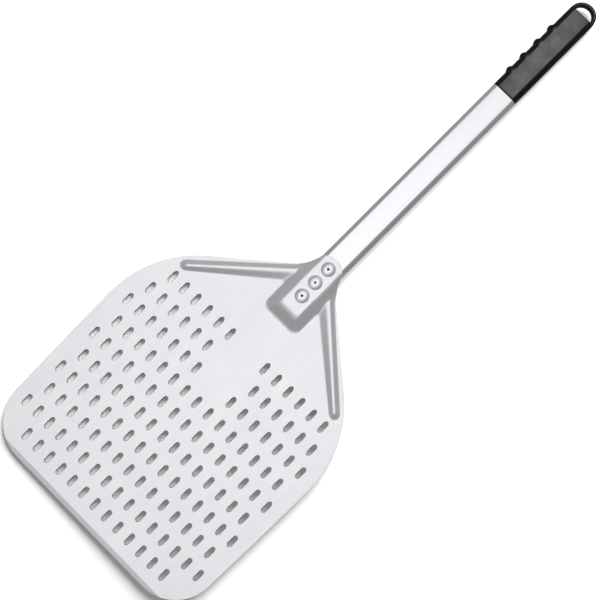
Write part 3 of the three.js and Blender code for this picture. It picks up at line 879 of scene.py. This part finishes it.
def grip_material():
    """Black moulded plastic with a fine spark-eroded texture."""
    n = Nodes("grip_plastic")
    texture = n.noise((1.1, 1.1, 1.1), 4, 0.6)
    cloud = n.noise((0.08, 0.08, 0.08), 3)
    skin = n.blend(n.spread(texture, 0, 1), (0.0015, 0.0016, 0.0018), (0.003, 0.0032, 0.0034))
    skin = n.blend(n.spread(cloud, 0, 0.4), skin, (0.004, 0.0045, 0.005))
    n.shader.inputs["Specular IOR Level"].default_value = 0.18
    n.link(skin, n.shader.inputs["Base Color"])
    n.link(n.math("ADD", n.spread(texture, 0.24, 0.36), n.spread(cloud, -0.04, 0.04)),
           n.shader.inputs["Roughness"])
    n.bumps((cloud, 0.05), (texture, 0.03))
    return n.material


def floor_material():
    """Plain pale paper with a barely visible tooth."""
    n = Nodes("floor_paper")
    tooth = n.noise((0.5, 0.5, 0.5), 2)
    n.link(n.blend(n.spread(tooth, 0, 1), (0.50, 0.50, 0.50), (0.52, 0.52, 0.52)),
           n.shader.inputs["Base Color"])
    n.shader.inputs["Roughness"].default_value = 0.9
    n.shader.inputs["Specular IOR Level"].default_value = 0.0
    return n.material


# -------------------------------------------------------------------- assembly


def place(piece, node, slot, material):
    piece.data.materials.clear()
    piece.data.materials.append(material)
    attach(piece, "root")
    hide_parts(node)


def make_peel():
    place(make_blade(), "blade", "blade_aluminium", blade_material())
    place(make_tube(), "handle_tube", "tube_aluminium", tube_material())
    place(make_grip(), "grip", "grip_plastic", grip_material())
    bright, steel = rivet_material(), mandrel_material()
    chance = random.Random(7)
    for number, (y, sunk) in enumerate(zip(RIVET_Y, MANDREL_SUNK), 1):
        place(make_rivet(number, y), f"rivet_{number}", "rivet_aluminium", bright)
        place(make_mandrel(number, y, sunk, chance), f"rivet_mandrel_{number}", "mandrel_steel", steel)


# ------------------------------------------------------------------------ stage


def make_camera():
    data = bpy.data.cameras.new("camera")
    data.lens = CAMERA_LENS
    data.sensor_width = CAMERA_SENSOR
    data.clip_start, data.clip_end = CAMERA_CLIP
    camera = bpy.data.objects.new("camera", data)
    bpy.context.scene.collection.objects.link(camera)
    back = (CAMERA_PLACE - CAMERA_TARGET).normalized()
    right = CAMERA_UP.cross(back).normalized()
    up = back.cross(right)
    camera.matrix_world = Matrix((
        (right.x, up.x, back.x, CAMERA_PLACE.x),
        (right.y, up.y, back.y, CAMERA_PLACE.y),
        (right.z, up.z, back.z, CAMERA_PLACE.z),
        (0, 0, 0, 1),
    ))
    bpy.context.scene.camera = camera


def make_floor():
    """A pale floor just clear of the tube, tipped sideways so that it nears the blade's left."""
    mesh = bpy.data.meshes.new("floor")
    far = FLOOR_REACH
    corners = [(-far, -far, 0), (far, -far, 0), (far, far, 0), (-far, far, 0)]
    mesh.from_pydata(corners, [], [(0, 1, 2, 3)])
    floor = bpy.data.objects.new("floor", mesh)
    bpy.context.scene.collection.objects.link(floor)
    mesh.materials.append(floor_material())
    # FLOOR_POINT is under the tube's front left corner, half a millimetre lower than the grip.
    slope_x, slope_y = FLOOR_SLOPE
    floor.rotation_mode = "QUATERNION"
    normal = Vector((-slope_x, -slope_y, 1)).normalized()
    floor.rotation_quaternion = Vector((0, 0, 1)).rotation_difference(normal)
    floor.location = (0, 0, (FLOOR_POINT[2] - slope_x * FLOOR_POINT[0] - slope_y * FLOOR_POINT[1]) * MM)
    floor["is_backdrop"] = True
    return floor


def area_light(name, place, target, size, level, only=None, length=None):
    """A lamp of this diameter (or width and length), whose face has this radiance."""
    data = bpy.data.lights.new(name, "AREA")
    data.size = size
    if length:
        data.shape = "RECTANGLE"
        data.size_y = length
        data.energy = level * math.pi * size * length
    else:
        data.shape = "DISK"
        data.energy = level * math.pi**2 * size**2 / 4
    lamp = bpy.data.objects.new(name, data)
    bpy.context.scene.collection.objects.link(lamp)
    lamp.location = place
    lamp.rotation_mode = "QUATERNION"
    lamp.rotation_quaternion = (Vector(target) - Vector(place)).to_track_quat("-Z", "Y")
    if only:
        lamp.light_linking.receiver_collection = only


def collection_of(name, pieces):
    """The things that a lamp is linked to."""
    made = bpy.data.collections.new(name)
    for piece in pieces:
        made.objects.link(piece)
    return made


def make_world():
    """Soft studio surroundings: bright overhead, dim towards the sides."""
    world = bpy.data.worlds.new("studio")
    world.use_nodes = True
    tree = world.node_tree
    split = tree.nodes.new("ShaderNodeSeparateXYZ")
    tree.links.new(tree.nodes.new("ShaderNodeTexCoord").outputs["Generated"], split.inputs[0])
    x, y, z = split.outputs

    def calc(operation, *values):
        node = tree.nodes.new("ShaderNodeMath")
        node.operation = operation
        for socket, value in zip(node.inputs, values):
            if isinstance(value, (int, float)):
                socket.default_value = value
            else:
                tree.links.new(value, socket)
        return node.outputs["Value"]

    def side(direction, sign, strength):
        return calc("MULTIPLY", calc("MAXIMUM", calc("MULTIPLY", direction, sign), 0.0), strength)

    above = calc("MAXIMUM", z, 0.0001)
    parts = [side(y, 1, GLOW_REAR), side(y, -1, GLOW_FRONT), side(x, 1, GLOW_RIGHT),
             side(x, -1, GLOW_LEFT)]
    parts.append(calc("MULTIPLY", calc("POWER", above, TOP_NARROWNESS), GLOW_TOP))
    across = calc("DIVIDE", calc("SUBTRACT", calc("DIVIDE", x, above), WINDOW_SLOPE_X),
                  WINDOW_SPREAD_X)
    along = calc("DIVIDE", calc("SUBTRACT", calc("DIVIDE", y, above), WINDOW_SLOPE_Y),
                 WINDOW_SPREAD_Y)
    off = calc("ADD", calc("POWER", calc("ABSOLUTE", across), 2.0),
               calc("POWER", calc("ABSOLUTE", along), 2.0))
    parts.append(calc("MULTIPLY", calc("EXPONENT", calc("MULTIPLY", off, -0.5)), WINDOW))
    total = GLOW_ALL
    for part in parts:
        total = calc("ADD", part, total)
    background = tree.nodes["Background"]
    background.inputs["Color"].default_value = (1, 1, 1, 1)
    tree.links.new(total, background.inputs["Strength"])
    bpy.context.scene.world = world


def make_stage():
    scene = bpy.context.scene
    scene.view_settings.view_transform = "Standard"
    scene.view_settings.look = "None"
    make_world()
    floor = make_floor()
    # Not physical: reflections leave the floor out and it shades nothing, so that the metal
    # takes its tones from the room's light alone.
    floor.visible_glossy = False
    floor.visible_shadow = False
    grip = [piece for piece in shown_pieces() if piece.name == "grip_moulding"]
    # Each lamp is linked to the one thing it lights.
    area_light("floor_key", FLOOR_KEY_PLACE, FLOOR_KEY_TARGET, FLOOR_KEY_SIZE, FLOOR_KEY_LEVEL,
               collection_of("lit_floor", [floor]))
    area_light("grip_strip", GRIP_STRIP_PLACE, GRIP_STRIP_TARGET, GRIP_STRIP_WIDTH,
               GRIP_STRIP_LEVEL, collection_of("lit_grip", grip), length=GRIP_STRIP_LENGTH)


make_camera()
make_peel()
make_stage()

bpy.context.view_layer.update()
